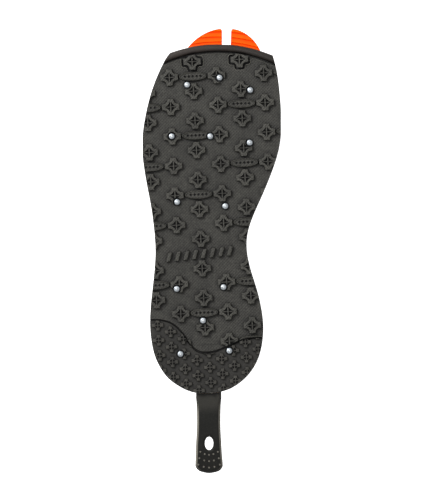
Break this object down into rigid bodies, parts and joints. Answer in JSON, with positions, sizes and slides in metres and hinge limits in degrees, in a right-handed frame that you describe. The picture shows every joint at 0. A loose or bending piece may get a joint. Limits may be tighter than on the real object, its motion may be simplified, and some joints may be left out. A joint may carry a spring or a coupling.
{
  "type": "studded interchangeable outsole",
  "caption": "Slip-on rubber outsole for an ice or wading boot, with carbide-tipped steel studs, a forked toe tongue and a heel strap.",
  "frame": {"origin": "under the middle of the sole's bounding box, on the surface that the boot-side plugs rest on", "axes": "+Y runs from the heel strap to the toe tongue, +Z is away from the boot through the tread, +X is the inner side of a right foot"},
  "size_m": [0.1208, 0.3891, 0.0154],
  "materials": {
    "tread_rubber": "matt moulded rubber",
    "carrier": "smooth satin rubber",
    "strap": "smooth satin rubber",
    "plug": "matt moulded rubber",
    "tongue": "ribbed moulded nylon",
    "stud_steel": "bright zinc-plated steel",
    "carbide": "ground tungsten carbide"
  },
  "bodies": {
    "rear_sole": {"carrier_rear": "carrier", "tread_arch": "tread_rubber", "heel_tread": "tread_rubber", "strap_anchor": "strap", "heel_plug": "plug", "stud_07": "stud_steel", "stud_08": "stud_steel", "stud_09": "stud_steel", "stud_10": "stud_steel", "stud_11": "stud_steel", "stud_12": "stud_steel", "stud_13": "stud_steel", "stud_tip_07": "carbide", "stud_tip_08": "carbide", "stud_tip_09": "carbide", "stud_tip_10": "carbide", "stud_tip_11": "carbide", "stud_tip_12": "carbide", "stud_tip_13": "carbide"},
    "forefoot": {"carrier_front": "carrier", "tread_forefoot": "tread_rubber", "toe_tongue": "tongue", "forefoot_plug": "plug", "stud_01": "stud_steel", "stud_02": "stud_steel", "stud_03": "stud_steel", "stud_04": "stud_steel", "stud_05": "stud_steel", "stud_06": "stud_steel", "stud_tip_01": "carbide", "stud_tip_02": "carbide", "stud_tip_03": "carbide", "stud_tip_04": "carbide", "stud_tip_05": "carbide", "stud_tip_06": "carbide"},
    "strap": {"heel_strap": "strap"}
  },
  "joints": [
    {"name": "ball_flex", "type": "hinge", "parent": "rear_sole", "child": "forefoot", "pos_m": [0, 0.072, 0.005], "axis": [-1, 0, 0], "range_deg": [-5, 40], "stiffness_Nm_per_rad": 3},
    {"name": "strap_flex", "type": "hinge", "parent": "rear_sole", "child": "strap", "pos_m": [-0.0023, -0.126, 0.0052], "axis": [1, 0, 0], "range_deg": [-15, 110], "stiffness_Nm_per_rad": 0.3}
  ]
}
